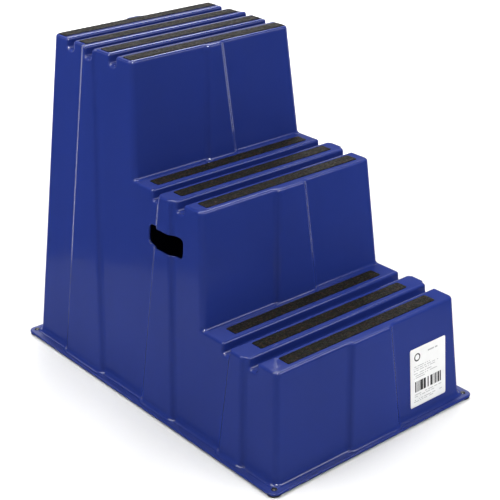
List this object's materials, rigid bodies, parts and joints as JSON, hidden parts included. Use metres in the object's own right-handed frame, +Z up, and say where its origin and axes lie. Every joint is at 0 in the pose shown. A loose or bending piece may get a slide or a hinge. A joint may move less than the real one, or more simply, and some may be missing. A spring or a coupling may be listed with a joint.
{
  "type": "mounting block",
  "caption": "Three-tread moulded plastic riding mounting block, open underneath for nesting, with grit tapes, side hand holes and rubber feet.",
  "frame": {"origin": "on the floor, at the middle of the base's outline", "axes": "+Z up, +Y from the lowest tread at the front to the back wall, +X to the right seen from the front"},
  "size_m": [0.515, 0.784, 0.6512],
  "materials": {
    "shell_plastic": "glossy moulded, dark blue, with fine scuffs",
    "grit_tape": "coarse mineral grit, near black",
    "foot_rubber": "matt black",
    "rivet_plastic": "glossy black",
    "label_film": null
  },
  "bodies": {
    "root": {"shell": "shell_plastic", "grit_tape_1_1": "grit_tape", "grit_tape_1_2": "grit_tape", "grit_tape_1_3": "grit_tape", "grit_tape_2_1": "grit_tape", "grit_tape_2_2": "grit_tape", "grit_tape_2_3": "grit_tape", "grit_tape_3_1": "grit_tape", "grit_tape_3_2": "grit_tape", "grit_tape_3_3": "grit_tape", "grit_tape_3_4": "grit_tape", "foot_pad_front_left": "foot_rubber", "foot_pad_front_right": "foot_rubber", "foot_pad_back_left": "foot_rubber", "foot_pad_back_right": "foot_rubber", "rivet_front_left": "rivet_plastic", "rivet_front_right": "rivet_plastic", "rivet_back_left": "rivet_plastic", "rivet_back_right": "rivet_plastic", "label": "label_film"}
  },
  "joints": []
}
